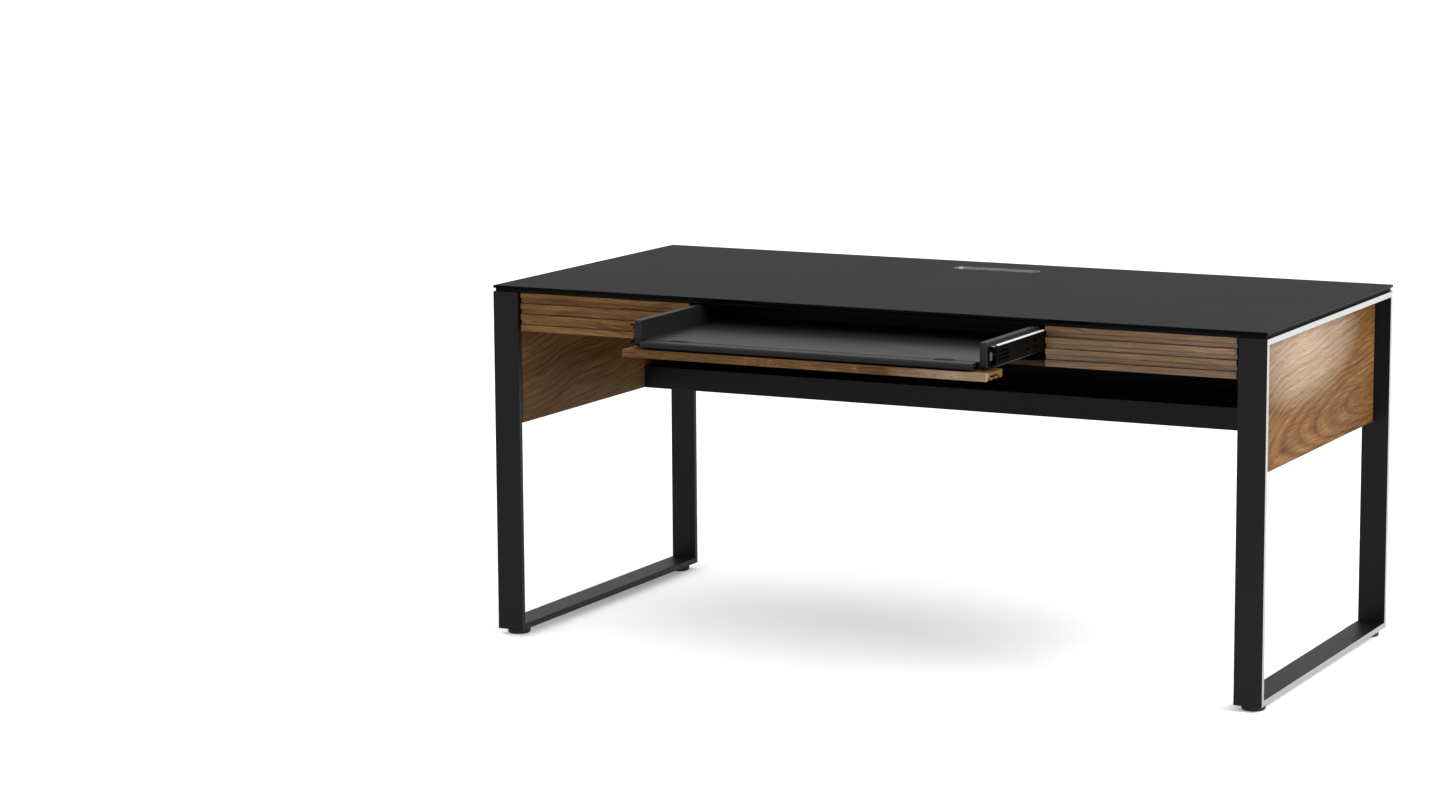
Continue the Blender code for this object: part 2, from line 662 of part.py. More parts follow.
def make_tray(pivots):
    """Keyboard tray on its slides, with the fold-down front and its wrist rest."""
    pivot = pivots["tray"]
    middles = pivots["tray_middles"]
    middle_out = TRAY_MIDDLE_SHARE * TRAY_OUT
    reach = (TRAY_SLIDE_FRONT_Y, TRAY_SLIDE_LENGTH, middle_out, TRAY_OUT)
    back = WALL_FRONT_DY + TRAY_LENGTH
    for side_name, side in SIDES:
        start = side * TRAY_INNER_X
        bm = prism_mesh(tray_wall_outline(), 0, start, side * TRAY_HALF_WIDTH)
        wall = add_piece("tray_" + side_name + "_wall", bm, TRAY_GREY, pivot)
        soften(wall, WALL_EASE, 2)
        x = side * (BAY_HALF_WIDTH - GAP)
        make_slide("tray_" + side_name, x, -side, TRAY_SLIDE_Z, reach, middles, pivot)
    clear = TRAY_INNER_X - GAP
    low = (-clear, HINGE_DY + GROOVE_BACK, TRAY_FLOOR_LOW)
    high = (clear, back - CASE_WALL_T - GAP, TRAY_FLOOR_TOP)
    floor = add_box("tray_floor", low, high, TRAY_GREY, pivot, ease=0.0)
    low = (-clear, back - CASE_WALL_T, TRAY_WALL_LOW)
    add_box("tray_back_wall", low, (clear, back, TRAY_BACK_TOP), TRAY_GREY, pivot)
    wrist_rest = make_flap(pivots["flap"])
    for side_name, side in SIDES:
        make_hinge(side_name, side, floor, wrist_rest, pivots)


def make_flap(pivot):
    """The tray's louvred front, folded down, with the wrist rest on its inner face."""
    face = HINGE_DY - FLAP_DROP - FRONT_T
    shut = louvre_outline(face, face + FRONT_T)
    outline = [folded_down(point) for point in shut]
    bm = prism_mesh(outline, 0, -FLAP_HALF_WIDTH, FLAP_HALF_WIDTH)
    add_piece("flap_front", bm, WALNUT, pivot)
    front = HINGE_DY - REST_FRONT
    low = (-RAIL_HALF_WIDTH, front + RAIL_INSET, RAIL_LOW)
    high = (RAIL_HALF_WIDTH, HINGE_DY - GROOVE_FRONT - RAIL_INSET, RAIL_TOP)
    add_box("flap_carrier_rail", low, high, BLACK_STEEL, pivot, ease=0.0)
    low = (-REST_HALF_WIDTH, front, REST_LOW)
    high = (REST_HALF_WIDTH, HINGE_DY - GROOVE_FRONT, TRAY_FLOOR_TOP)
    wrist_rest = add_box("wrist_rest", low, high, TRAY_GREY, pivot, ease=0.0)
    return wrist_rest


def main():
    """Build the whole desk."""
    clear_scene()
    pivots = make_pivots()
    make_top()
    make_legs(pivots)
    make_case()
    make_cable_compartment(pivots)
    make_tray(pivots)
    for side_name, side in SIDES:
        make_drawer(side_name, side, pivots)


main()
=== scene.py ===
"""The looks of a computer desk with a keyboard tray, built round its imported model.

Metres, +Z up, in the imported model's own frame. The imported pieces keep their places.
Fine pieces are added to them, or stand for the plain ones, and every surface gets
a procedural material.
"""

import math

import bmesh
import bpy
from mathutils import Matrix, Vector


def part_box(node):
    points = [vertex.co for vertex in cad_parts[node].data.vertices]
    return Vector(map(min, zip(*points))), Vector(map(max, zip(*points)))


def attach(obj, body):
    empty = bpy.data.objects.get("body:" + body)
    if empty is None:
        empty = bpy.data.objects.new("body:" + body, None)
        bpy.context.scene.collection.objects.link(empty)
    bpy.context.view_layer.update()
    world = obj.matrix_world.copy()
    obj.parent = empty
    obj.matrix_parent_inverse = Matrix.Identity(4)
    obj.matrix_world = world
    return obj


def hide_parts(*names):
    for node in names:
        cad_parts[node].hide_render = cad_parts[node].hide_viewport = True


SIDES = (("left", -1.0), ("right", 1.0))
ENDS = ("front", "rear")

# ---------------------------------------------------------------- driving values

# camera and studio
CAMERA_PLACE = (3.1529, -6.9602, 1.7331)
CAMERA_PITCH = 9.125        # degrees below the horizon
CAMERA_TURN = 24.817
CAMERA_LENS = 94.73
CAMERA_SHIFT = -0.1153
FLOOR_REACH = 60.0
FLOOR_GLOW = 0.26
SKY_DIM_UP_TO = 0.05        # sine of the height above the horizon
SKY_FULL_FROM = 0.60
SKY_LOW = 0.30
SKY_HIGH = 1.45
KEY_PLACE = (2.7, -0.6, 1.6)
KEY_AIM = (0.8, 0.0, 0.6)
KEY_SIZE = (1.0, 1.0)
KEY_POWER = 75.0

# walnut: scales are noise cells in a metre, along the grain and across it
SWAY_SCALE = (2.2, 4.0)
SWAY_REACH = 0.040
RIPPLE_SCALE = (9.0, 22.0)
RIPPLE_REACH = 0.009
PATCH_SCALE = (3.0, 16.0)
FIBRE_SCALE = (11.0, 430.0)
PORE_SCALE = (90.0, 1150.0)
THIN_SCALE = (0.7, 5.0)     # the second is in a ring
RING_TONES = ((0.0, 0.45), (0.16, 0.72), (0.50, 0.90), (0.80, 0.60), (0.95, 0.20), (1.0, 0.45))
RING_MEAN = (0.66, 0.66, 0.66)
FAINT_YEAR = 0.15           # the share of its ring's tones that the faintest year shows
BOLD_YEAR = 0.95
THIN_TONES = ((0.32, 0.2), (0.68, 0.9))
THIN_SHARE = 0.34           # the share that each finer pattern has in the wood's tone
PATCH_TONES = ((0.3, 0.15), (0.7, 0.95))
PATCH_SHARE = 0.36
FIBRE_TONES = ((0.32, 0.05), (0.68, 0.95))
FIBRE_SHARE = 0.28
PORE_TONES = ((0.0, 1.0), (0.30, 1.0), (0.40, 0.0), (1.0, 0.0))
PORE_SHARE = 0.55
PORE_COLOUR = (0.036, 0.017, 0.007)
PALE_FRAY = 0.25            # how ragged the edge of a pale patch is
HEARTWOOD = (
    (0.20, (0.030, 0.0120, 0.0036)),
    (0.42, (0.074, 0.0335, 0.0105)),
    (0.62, (0.142, 0.0720, 0.0260)),
    (0.85, (0.255, 0.1500, 0.0700)),
)
# colours of the pale patch; on the right side panel that patch is a painted highlight
PALE_PATCH_COLOURS = ((0.20, (0.15, 0.105, 0.070)), (0.85, (0.46, 0.36, 0.265)))

# legs
# The nickel stops short of the chamfers, which stay black coat: a painted dark outline standing in
# for the shade along the bars' edges.
NICKEL_SKIN = 0.00015       # the nickel's reach in from the outermost face
# painted shade: below this height the leg nickel darkens towards the floor
LEG_LIT_FROM = 0.70      # the height where the nickel is at its brightest

# louvred fronts
SLAT_PITCH = 0.0221
SLAT_LAND = 0.0100
SLAT_SLOPE = 0.0025
SLAT_RECESS = 0.0048
SLAT_KERF = 0.0009
SLAT_KERF_DEPTH = 0.0090
SLAT_EDGE_R = 0.0009

# slides
SHEET = 0.001
FLANGE_REACH = 0.0045       # how far the flange pieces run onto the web
WEB_CORNER_R = 0.0028
LIP_CORNER_R = 0.0008
LIP_CURLS = (("outer", 0.0024), ("middle", SHEET), ("inner", 0.0034))
SLIDE_SLOT_R = 0.0019
SLIDE_HOLE_R = 0.0024
FRONT_SLOT = (0.012, 0.060)  # the long slot's two centres, from the front end
SHORT_SLOT = 0.012
SLOT_SHARES = (0.38, 0.48, 0.80, 0.90)
HOLE_SHARES = (0.27, 0.62, 0.97)
WIDE_SLOT_ROWS = (-0.0085, -0.0010, 0.0065)
WIDE_HOLE_ROWS = (-0.0065, 0.0065)
# The bright zinc on the up-facing tops of the slide members is a painted highlight; the rest is
# black coat.
HIGHLIGHT_START = 0.0070          # the black coat's reach along each member, from its front end
HIGHLIGHT_FACING = 0.45           # how far up a face of the bright run looks
BUMPER_IN = 0.0020
BUMPER_DEEP = 0.0030
BUMPER_HALF = 0.008
BUMPER_REACH = (0.0010, 0.0090)

# hinges
LEAF_CORNER_R = 0.0072
LEAF_CLEARANCE = 0.0003
LEAF_SCREW_X = 0.0125
LEAF_SCREW_IN = 0.0042      # from a leaf's far edge
LEAF_SINK = 0.0001
POCKET_PAST = 0.02          # how far a pocket's cutter runs past the hinge line
POCKET_ABOVE = 0.01

# fasteners: a screw is (radius, height), a cap is a profile of (radius, height)
LEAF_SCREW = (0.0019, 0.0003)
SMALL_SCREW = (0.0032, 0.0012)
BIG_SCREW = (0.0038, 0.0014)
CAM_CAP = [(0.0, 0.0), (0.0075, 0.0), (0.0075, 0.0006), (0.0069, 0.0011), (0.0, 0.0013)]
CAM_CAP_LOW = 0.016
CAM_CAP_HIGH = 0.014
CAM_CAP_IN = 0.034
CATCH_CAP = [(0.0, 0.0), (0.0090, 0.0), (0.0090, 0.0007), (0.0082, 0.0013)]
CATCH_CAP += [(0.0030, 0.0016), (0.0024, 0.0009), (0.0, 0.0009)]
CATCH_IN = 0.030
BACK_SCREW_UP = 0.0070
BACK_SHARES = (0.12, 0.5, 0.88)
CASE_SHARES = (0.08, 0.36, 0.64, 0.92)
CASE_SCREW_IN = 0.006
COMPARTMENT_SHARES = (0.04, 0.27, 0.5, 0.73, 0.96)
COMPARTMENT_SCREW_IN = 0.012
CLEAT_SHARES = (0.1, 0.5, 0.9)

# feet
FOOT_GAP = 0.0003
FOOT_RIBS = 0.022
STEM_ROOT_R = 0.0034
STEM_R = 0.0040
THREAD_PITCH = 0.0010

SAME_POINT = 1e-7
WELD = 0.00001


# ---------------------------------------------------------------- material graph


class Finish:
    """One Principled material, with short calls that add the nodes behind it."""

    def __init__(self, name):
        self.material = bpy.data.materials.new(name)
        self.material.use_nodes = True
        self.tree = self.material.node_tree
        self.shader = self.tree.nodes["Principled BSDF"]

    def add(self, kind, inputs=None, **settings):
        """Add a node, set its properties, and feed its inputs with values or sockets."""
        node = self.tree.nodes.new("ShaderNode" + kind)
        for name, value in settings.items():
            setattr(node, name, value)
        for name, value in (inputs or {}).items():
            self.feed(node.inputs[name], value)
        return node

    def feed(self, socket, value):
        """Set a socket, or link another socket to it."""
        if isinstance(value, bpy.types.NodeSocket):
            self.tree.links.new(value, socket)
        else:
            socket.default_value = value

    def set(self, **values):
        """Set the shader's sockets, named with _ for a space."""
        for name, value in values.items():
            self.feed(self.shader.inputs[name.replace("_", " ")], value)

    def math(self, operation, first, second=0.0):
        return self.add("Math", {0: first, 1: second}, operation=operation).outputs[0]

    def plus(self, first, second):
        return self.math("ADD", first, second)

    def minus(self, first, second):
        return self.math("SUBTRACT", first, second)

    def times(self, first, second):
        return self.math("MULTIPLY", first, second)

    def point(self):
        """A point's place in the model's own frame."""
        return self.add("TexCoord").outputs["Object"]

    def place(self):
        """A point's place in the model's own frame, as its three parts."""
        node = self.add("SeparateXYZ", {"Vector": self.point()})
        return node.outputs["X"], node.outputs["Y"], node.outputs["Z"]

    def join(self, x, y, z):
        return self.add("CombineXYZ", {"X": x, "Y": y, "Z": z}).outputs["Vector"]

    def noise(self, vector, scale, detail=2.0, roughness=0.5):
        inputs = {"Vector": vector, "Scale": scale, "Detail": detail, "Roughness": roughness}
        return self.add("TexNoise", inputs).outputs["Fac"]

    def ramp(self, factor, stops):
        """A colour ramp; a stop is (place, grey or colour)."""
        node = self.add("ValToRGB", {"Fac": factor})
        elements = node.color_ramp.elements
        while len(elements) < len(stops):
            elements.new(0.5)
        for element, (place, tone) in zip(elements, stops):
            colour = tone if isinstance(tone, tuple) else (tone, tone, tone)
            element.position = place
            element.color = (*colour, 1.0)
        return node.outputs["Color"]

    def mix(self, factor, first, second):
        """Blend two colours."""
        node = self.add("Mix", data_type="RGBA")
        for number, value in ((0, factor), (6, first), (7, second)):
            self.feed(node.inputs[number], (*value, 1.0) if isinstance(value, tuple) else value)
        return node.outputs[2]

    def choose(self, factor, first, second):
        """Blend two numbers."""
        return self.add("Mix", {0: factor, 2: first, 3: second}).outputs[0]

    def spread(self, factor, low, high):
        """Stretch a 0 to 1 value to run from low to high."""
        inputs = {"Value": factor, "To Min": low, "To Max": high}
        return self.add("MapRange", inputs).outputs["Result"]

    def bump(self, height, strength, distance):
        inputs = {"Height": height, "Strength": strength, "Distance": distance}
        self.set(Normal=self.add("Bump", inputs).outputs["Normal"])


# ---------------------------------------------------------------- finishes


def walnut(
    name,
    along,
    across,
    heart,
    lean=0.12,
    slope=0.0,
    seed=0.0,
    rings=70.0,
    contrast=1.0,
    tint=(1.0, 1.0, 1.0),
    sheen=0.06,
    pale=None,
):
    """Oiled walnut: tree rings cut by the board, fibres along it, and open pores.

    along and across are the model's axes that the grain runs along and spreads over.
    heart is the pith's place (along, across, depth). The pith leans out of the board
    by lean and climbs across it by slope, both per metre along, so that the rings meet
    the board in long nested arches. rings is their number in a metre, and contrast
    scales how bold they are. tint scales the heartwood's colour, and sheen is the
    shader's specular level. pale is a paler patch: its middle (along, across), its
    two reaches, and its strength. On the right side panel it is a painted highlight.
    """
    finish = Finish(name)
    plus, minus, times = finish.plus, finish.minus, finish.times
    parts = finish.place()
    u, v, w = parts[along], parts[across], parts[3 - along - across]
    start = plus(u, seed)

    def wander(scale, detail, reach):
        """How far the rings stray sideways."""
        point = finish.join(times(start, scale[0]), times(v, scale[1]), seed)
        return finish.spread(finish.noise(point, 1.0, detail), -reach, reach)

    stray = plus(wander(SWAY_SCALE, 1.0, SWAY_REACH), wander(RIPPLE_SCALE, 2.0, RIPPLE_REACH))
    level = times(minus(u, heart[0]), slope)
    side = plus(minus(minus(v, heart[1]), level), stray)
    tilt = times(minus(u, heart[0]), lean)
    deep = plus(minus(w, heart[2]), tilt)
    squares = plus(times(side, side), times(deep, deep))
    turns = times(finish.math("SQRT", squares), rings)

    def grain(scale, detail, roughness):
        """Noise drawn out along the grain."""
        point = finish.join(times(start, scale[0]), times(side, scale[1]), times(w, scale[1]))
        return finish.noise(point, 1.0, detail, roughness)

    year = plus(finish.math("FLOOR", turns), seed)
    yearly = finish.add("TexWhiteNoise", {"W": year}, noise_dimensions="1D").outputs["Value"]
    ring = finish.ramp(finish.math("FRACT", turns), RING_TONES)
    shown = finish.spread(yearly, FAINT_YEAR * contrast, BOLD_YEAR * contrast)
    ring = finish.mix(shown, RING_MEAN, ring)
    thin_at = finish.join(times(start, THIN_SCALE[0]), times(turns, THIN_SCALE[1]), w)
    thin = finish.noise(thin_at, 1.0)
    broad = grain(PATCH_SCALE, 3.0, 0.55)
    fibre = grain(FIBRE_SCALE, 3.0, 0.6)
    pore = finish.ramp(grain(PORE_SCALE, 1.0, 0.5), PORE_TONES)
    tone = finish.mix(THIN_SHARE, ring, finish.ramp(thin, THIN_TONES))
    tone = finish.mix(PATCH_SHARE, tone, finish.ramp(broad, PATCH_TONES))
    tone = finish.mix(FIBRE_SHARE, tone, finish.ramp(fibre, FIBRE_TONES))
    stops = []
    for place, shade in HEARTWOOD:
        stops.append((place, tuple(share * part for share, part in zip(tint, shade))))
    colour = finish.ramp(tone, stops)
    # the pale patch: on the right side panel, a painted highlight with the grain showing through
    if pale:
        near_u = finish.math("DIVIDE", minus(u, pale[0]), pale[2])
        near_v = finish.math("DIVIDE", minus(v, pale[1]), pale[3])
        away = plus(times(near_u, near_u), times(near_v, near_v))
        away = plus(away, finish.spread(broad, -PALE_FRAY, PALE_FRAY))
        patch = finish.ramp(away, ((0.0, pale[4]), (1.0, 0.0)))
        colour = finish.mix(patch, colour, finish.ramp(tone, PALE_PATCH_COLOURS))
    colour = finish.mix(times(pore, PORE_SHARE), colour, PORE_COLOUR)
    finish.set(Base_Color=colour, Roughness=finish.spread(fibre, 0.34, 0.52))
    finish.set(Specular_IOR_Level=sheen)
    finish.bump(minus(times(fibre, 0.5), times(pore, 0.6)), 0.30, 0.0002)
    return finish.material


def etched_glass(name):
    """Black glass: satin on its faces, polished round its edges."""
    finish = Finish(name)
    point = finish.point()
    facing = finish.add("SeparateXYZ", {"Vector": finish.add("NewGeometry").outputs["Normal"]})
    tilt = finish.math("ABSOLUTE", facing.outputs["Z"])
    flat = finish.math("GREATER_THAN", tilt, 0.9)
    etch = finish.noise(point, 2600.0, 2.0)
    cloud = finish.noise(point, 3.0, 3.0)
    satin = finish.plus(finish.spread(etch, 0.40, 0.47), finish.spread(cloud, -0.015, 0.015))
    finish.set(Base_Color=finish.mix(flat, (0.0006, 0.0008, 0.0009), (0.0060, 0.0060, 0.0062)))
    finish.set(Roughness=finish.choose(flat, 0.07, satin))
    finish.set(Specular_IOR_Level=0.0235)
    finish.bump(finish.times(etch, flat), 0.10, 0.00005)
    return finish.material


def coated_metal(name, colour, roughness, shine=0.15):
    """Powder coat or paint, with the faint pebble that spraying leaves."""
    finish = Finish(name)
    point = finish.point()
    pebble = finish.noise(point, 900.0, 3.0, 0.6)
    cloud = finish.noise(point, 7.0, 2.0)
    rough = finish.spread(finish.plus(cloud, pebble), roughness - 0.05, roughness + 0.02)
    finish.set(Base_Color=finish.mix(cloud, tuple(0.82 * part for part in colour), colour))
    finish.set(Roughness=rough)
    finish.set(Specular_IOR_Level=shine)
    finish.bump(pebble, 0.12, 0.0001)
    return finish.material


def leg_steel(name, edge_x):
    """Black powder coat; beyond edge_x, satin nickel, darker towards the floor as painted shade.
    """
    finish = Finish(name)
    x, y, z = finish.place()
    outward = finish.math("GREATER_THAN", finish.math("ABSOLUTE", x), edge_x)
    point = finish.point()
    pebble = finish.noise(point, 1100.0, 3.0, 0.6)
    cloud = finish.noise(point, 6.0, 2.0)
    brushed = finish.noise(finish.join(finish.times(x, 5.0), y, z), 240.0, 4.0, 0.7)
    black = finish.mix(cloud, (0.0028, 0.0028, 0.0029), (0.0040, 0.0040, 0.0042))
    # the two nickel colours are one nickel: the darker one is painted shade towards the floor
    lit_nickel = finish.mix(brushed, (0.46, 0.455, 0.45), (0.60, 0.595, 0.59))
    shaded_nickel = finish.mix(brushed, (0.21, 0.208, 0.205), (0.30, 0.297, 0.293))
    height = finish.add("MapRange", {"Value": z, "From Max": LEG_LIT_FROM}).outputs["Result"]
    coat_rough = finish.spread(pebble, 0.38, 0.46)
    nickel_rough = finish.spread(brushed, 0.22, 0.32)
    finish.set(Base_Color=finish.mix(outward, black, finish.mix(height, shaded_nickel, lit_nickel)))
    finish.set(Metallic=outward)
    finish.set(Roughness=finish.choose(outward, coat_rough, nickel_rough))
    finish.set(Specular_IOR_Level=0.14)
    finish.bump(finish.times(pebble, finish.minus(1.0, outward)), 0.10, 0.0001)
    return finish.material


def laminate(name, colour, roughness, shine=0.30):
    """Fine-grained melamine board."""
    finish = Finish(name)
    point = finish.point()
    speck = finish.noise(point, 1600.0, 2.0)
    cloud = finish.noise(point, 5.0, 3.0)
    finish.set(Base_Color=finish.mix(cloud, tuple(0.8 * part for part in colour), colour))
    finish.set(Roughness=finish.spread(speck, roughness - 0.06, roughness + 0.06))
    finish.set(Specular_IOR_Level=shine)
    finish.bump(speck, 0.15, 0.00006)
    return finish.material


def satin_metal(name, colour, roughness, along=1, metallic=1.0):
    """Plated sheet, with fine drawing lines along one axis."""
    finish = Finish(name)
    parts = list(finish.place())
    parts[along] = finish.times(parts[along], 0.02)
    lines = finish.noise(finish.join(*parts), 1600.0, 3.0, 0.7)
    cloud = finish.noise(finish.point(), 30.0, 3.0)
    finish.set(Base_Color=finish.mix(cloud, tuple(0.75 * part for part in colour), colour))
    finish.set(Metallic=metallic)
    finish.set(Roughness=finish.spread(lines, roughness - 0.08, roughness + 0.08))
    finish.bump(lines, 0.06, 0.00004)
    return finish.material


def plain_floor(name):
    """The pale studio floor."""
    finish = Finish(name)
    cloud = finish.noise(finish.point(), 0.6, 2.0)
    finish.set(Base_Color=finish.mix(cloud, (0.80, 0.80, 0.80), (0.83, 0.83, 0.83)))
    finish.set(Emission_Color=(1.0, 1.0, 1.0, 1.0), Emission_Strength=FLOOR_GLOW)
    finish.set(Roughness=0.9)
    finish.set(Specular_IOR_Level=0.1)
    return finish.material


# ---------------------------------------------------------------- shape helpers


def arc(centre, radius, first, last, steps):
    """Points along an arc, with angles in degrees."""
    points = []
    for step in range(steps + 1):
        angle = math.radians(first + (last - first) * step / steps)
        points.append((centre[0] + radius * math.cos(angle), centre[1] + radius * math.sin(angle)))
    return points


def circle(centre, radius, steps=24):
    return arc(centre, radius, 0, 360, steps)[:-1]


def slot_outline(first, last, radius, steps=6):
    """A slot with round ends between two centres on one line of the first coordinate."""
    return arc(last, radius, -90, 90, steps) + arc(first, radius, 90, 270, steps)


def rounded(corners, steps=4):
    """Round a closed outline; a corner is (a, b, radius)."""
    points = []
    for number, (a, b, radius) in enumerate(corners):
        here = Vector((a, b))
        if not radius:
            points.append((a, b))
            continue
        back = (Vector(corners[number - 1][:2]) - here).normalized()
        ahead = (Vector(corners[(number + 1) % len(corners)][:2]) - here).normalized()
        half = back.angle(ahead) / 2
        centre = here + (back + ahead).normalized() * (radius / math.sin(half))
        first = here + back * (radius / math.tan(half)) - centre
        last = here + ahead * (radius / math.tan(half)) - centre
        for step in range(steps + 1):
            spoke = first.lerp(last, step / steps).normalized() * radius
            points.append(tuple(centre + spoke))
    return points


def inset(outline, distance):
    """Move a closed outline's points inward, along the mean of their two edges' normals."""
    area = sum(a[0] * b[1] - b[0] * a[1] for a, b in zip(outline, outline[1:] + outline[:1]))
    turn = 1.0 if area > 0 else -1.0
    moved = []
    for number, point in enumerate(outline):
        here = Vector(point)
        back = here - Vector(outline[number - 1])
        ahead = Vector(outline[(number + 1) % len(outline)]) - here
        normal = Vector((0.0, 0.0))
        for edge in (back, ahead):
            if edge.length > SAME_POINT:
                normal += Vector((-edge.y, edge.x)).normalized() * turn
        moved.append(tuple(here + normal.normalized() * distance))
    return moved


def place_on(axis, point, height):
    """A 3-D point from two coordinates and the one along an axis."""
    parts = list(point)
    parts.insert(axis, height)
    return tuple(parts)


def swept(outline, axis, start, end, ease=0.0):
    """A closed outline run along an axis, with eased ends."""
    bm = bmesh.new()
    stations = [(outline, start), (outline, end)]
    if ease:
        small = inset(outline, ease)
        stations = [(small, start), (outline, start + ease), (outline, end - ease), (small, end)]
    rows = []
    for shape, height in stations:
        rows.append([bm.verts.new(place_on(axis, point, height)) for point in shape])
    for row, following in zip(rows, rows[1:]):
        for number in range(len(row)):
            after = (number + 1) % len(row)
            bm.faces.new((row[number], row[after], following[after], following[number]))
    bm.faces.new(rows[0])
    bm.faces.new(rows[-1])
    return bm


def plate(outline, holes, axis, start, thickness):
    """A flat plate with holes right through it."""
    bm = bmesh.new()
    edges = []
    for loop in [outline, *holes]:
        verts = [bm.verts.new(place_on(axis, point, start)) for point in loop]
        edges += [bm.edges.new(pair) for pair in zip(verts, verts[1:] + verts[:1])]
    bmesh.ops.triangle_fill(bm, use_beauty=True, use_dissolve=False, edges=edges)
    extruded = bmesh.ops.extrude_face_region(bm, geom=bm.faces[:])
    moved = [item for item in extruded["geom"] if isinstance(item, bmesh.types.BMVert)]
    bmesh.ops.translate(bm, verts=moved, vec=place_on(axis, (0.0, 0.0), thickness))
    return bm


def spun(profile, steps, ribs=0.0):
    """Turn (radius, height) points about the Z axis.

    ribs makes every other spoke shorter by that share.
    """
    bm = bmesh.new()
    rows = []
    for radius, height in profile:
        if radius == 0.0:
            rows.append([bm.verts.new((0.0, 0.0, height))])
            continue
        row = []
        for step in range(steps):
            angle = 2 * math.pi * step / steps
            spoke = radius * (1.0 - ribs * (step % 2))
            row.append(bm.verts.new((spoke * math.cos(angle), spoke * math.sin(angle), height)))
        rows.append(row)
    for row, following in zip(rows, rows[1:]):
        for step in range(steps):
            after = (step + 1) % steps
            if len(row) == 1:
                bm.faces.new((row[0], following[step], following[after]))
            elif len(following) == 1:
                bm.faces.new((row[step], row[after], following[0]))
            else:
                bm.faces.new((row[step], row[after], following[after], following[step]))
    return bm


def turned(bm, normal, place):
    """Stand a shape made along +Z on a point, along another direction."""
    turn = Vector(normal).to_track_quat("Z", "Y").to_matrix().to_4x4()
    bmesh.ops.transform(bm, matrix=Matrix.Translation(place) @ turn, verts=bm.verts)
    return bm


def joined(shapes):
    """Several shapes in one mesh."""
    whole = bmesh.new()
    for shape in shapes:
        mesh = bpy.data.meshes.new("shape")
        shape.to_mesh(mesh)
        shape.free()
        whole.from_mesh(mesh)
        bpy.data.meshes.remove(mesh)
    return whole


def weld(bm, heights):
    """Drop the faces that lie flat at some heights, and join the shapes that met there."""
    met = []
    for face in bm.faces:
        low_z = min(vert.co.z for vert in face.verts)
        high_z = max(vert.co.z for vert in face.verts)
        if any(abs(low_z - height) < WELD and abs(high_z - height) < WELD for height in heights):
            met.append(face)
    bmesh.ops.delete(bm, geom=met, context="FACES_ONLY")
    bmesh.ops.remove_doubles(bm, verts=bm.verts, dist=WELD)


def settled(bm):
    """The same shape with its faces in an order that is the same on every run."""
    bm.verts.index_update()
    loops = []
    for face in bm.faces:
        loop = [vert.index for vert in face.verts]
        start = loop.index(min(loop))
        loop = loop[start:] + loop[:start]
        loops.append(loop if loop[1] < loop[-1] else loop[:1] + loop[:0:-1])
    fresh = bmesh.new()
    verts = [fresh.verts.new(vert.co) for vert in bm.verts]
    for loop in sorted(loops):
        fresh.faces.new([verts[index] for index in loop])
    bm.free()
    return fresh


def piece(name, bm, material, body, stands_for=(), smooth=35.0):
    """Turn a shape into a dressed piece that rides on a body."""
    bmesh.ops.recalc_face_normals(bm, faces=bm.faces)
    mesh = bpy.data.meshes.new(name)
    bm.to_mesh(mesh)
    bm.free()
    mesh.shade_smooth()
    mesh.set_sharp_from_angle(angle=math.radians(smooth))
    mesh.materials.append(material)
    obj = bpy.data.objects.new(name, mesh)
    bpy.context.scene.collection.objects.link(obj)
    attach(obj, body)
    if stands_for:
        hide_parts(*stands_for)
    return obj


# ---------------------------------------------------------------- detail pieces


def louvre_shape(height, thickness):
    """Outline of a louvred front: distance down from its top edge, and depth behind its face."""
    corners = [(height, thickness, 0.0005), (0.0, thickness, 0.0005)]
    top = 0.0
    while top + SLAT_PITCH < height:
        foot = top + SLAT_PITCH
        corners.append((top, 0.0, SLAT_EDGE_R))
        corners.append((top + SLAT_LAND, 0.0, 0.0006))
        corners.append((top + SLAT_LAND + SLAT_SLOPE, SLAT_RECESS, 0.0008))
        corners.append((foot - SLAT_KERF, SLAT_RECESS, 0.0003))
        corners.append((foot - SLAT_KERF, SLAT_KERF_DEPTH, 0.0))
        corners.append((foot, SLAT_KERF_DEPTH, 0.0))
        top = foot
    corners.append((top, 0.0, SLAT_EDGE_R))
    corners.append((height, 0.0, SLAT_EDGE_R))
    return rounded(corners, 3)


def make_fronts(finishes):
    """Milled louvre fronts with eased edges, for the two drawers and the tray."""
    for side_name, _ in SIDES:
        body = side_name + "_drawer"
        low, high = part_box(body + "_front")
        shape = louvre_shape(high.z - low.z, high.y - low.y)
        outline = [(low.y + depth, high.z - down) for down, depth in shape]
        bm = swept(outline, 0, low.x, high.x, 0.0005)
        piece(body + "_louvres", bm, finishes[body], body, (body + "_front",))
    low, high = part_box("flap_front")
    shape = louvre_shape(high.y - low.y, high.z - low.z)
    outline = [(low.y + down, low.z + depth) for down, depth in shape]
    bm = swept(outline, 0, low.x, high.x, 0.0005)
    piece("flap_louvres", bm, finishes["flap"], "flap", ("flap_front",))


def slide_slots(front, length, middle, many):
    """Mounting slots and holes in a slide member's web, as (y, z) outlines."""
    holes = []
    first, last = (front + reach for reach in FRONT_SLOT)
    for row in WIDE_SLOT_ROWS if many else (0.0,):
        holes.append(slot_outline((first, middle + row), (last, middle + row), SLIDE_SLOT_R))
    for share in SLOT_SHARES:
        first = front + share * length
        last = first + SHORT_SLOT
        for row in WIDE_HOLE_ROWS if many else (0.0,):
            holes.append(slot_outline((first, middle + row), (last, middle + row), SLIDE_SLOT_R))
    for share in HOLE_SHARES:
        holes.append(circle((front + share * length, middle), SLIDE_HOLE_R, 16))
    return holes


